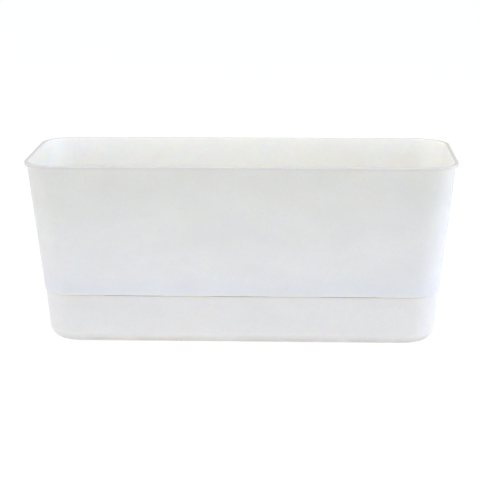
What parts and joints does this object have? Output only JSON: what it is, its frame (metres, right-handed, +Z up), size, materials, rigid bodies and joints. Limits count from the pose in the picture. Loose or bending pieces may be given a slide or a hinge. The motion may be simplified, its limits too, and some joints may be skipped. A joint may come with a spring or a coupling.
{
  "type": "self watering planter",
  "caption": "Rectangular self-watering window planter: drafted planting box on a clip-under water tray, with soil baskets, float gauge and filling shaft",
  "frame": {"origin": "middle of the base, on the surface that the planter stands on", "axes": "+Z up, X along the length with +X to the right as seen from the front, front faces -Y"},
  "size_m": [0.4, 0.16, 0.1735],
  "materials": {
    "shell_white": "fine satin, injection moulded",
    "insert_cream": "matt, injection moulded",
    "trim_white": "satin",
    "lens_clear": "clear, polished",
    "float_foam": "closed-cell foam",
    "marker_red": "satin"
  },
  "bodies": {
    "tray": {"reservoir_tray": "shell_white"},
    "box": {"planting_box": "shell_white"},
    "insert": {"soil_grate": "insert_cream", "soil_basket_left": "insert_cream", "soil_basket_centre": "insert_cream", "soil_basket_right": "insert_cream", "gauge_cage": "insert_cream", "gauge_tube": "trim_white", "gauge_lens": "lens_clear", "fill_shaft": "insert_cream", "fill_lid_pin": "trim_white"},
    "float": {"gauge_float": "float_foam", "gauge_stem": "trim_white", "gauge_marker": "marker_red"},
    "lid": {"fill_lid": "trim_white"}
  },
  "joints": [
    {"name": "box_lift", "type": "slide", "parent": "tray", "child": "box", "axis": [0, 0, 1], "range_m": [0, 0.08]},
    {"name": "insert_lift", "type": "slide", "parent": "box", "child": "insert", "axis": [0, 0, 1], "range_m": [0, 0.18]},
    {"name": "float_rise", "type": "slide", "parent": "insert", "child": "float", "axis": [0, 0, 1], "range_m": [0, 0.032]},
    {"name": "lid_hinge", "type": "hinge", "parent": "insert", "child": "lid", "pos_m": [0.152, -0.0175, 0.156], "axis": [-1, 0, 0], "range_deg": [0, 110]}
  ]
}
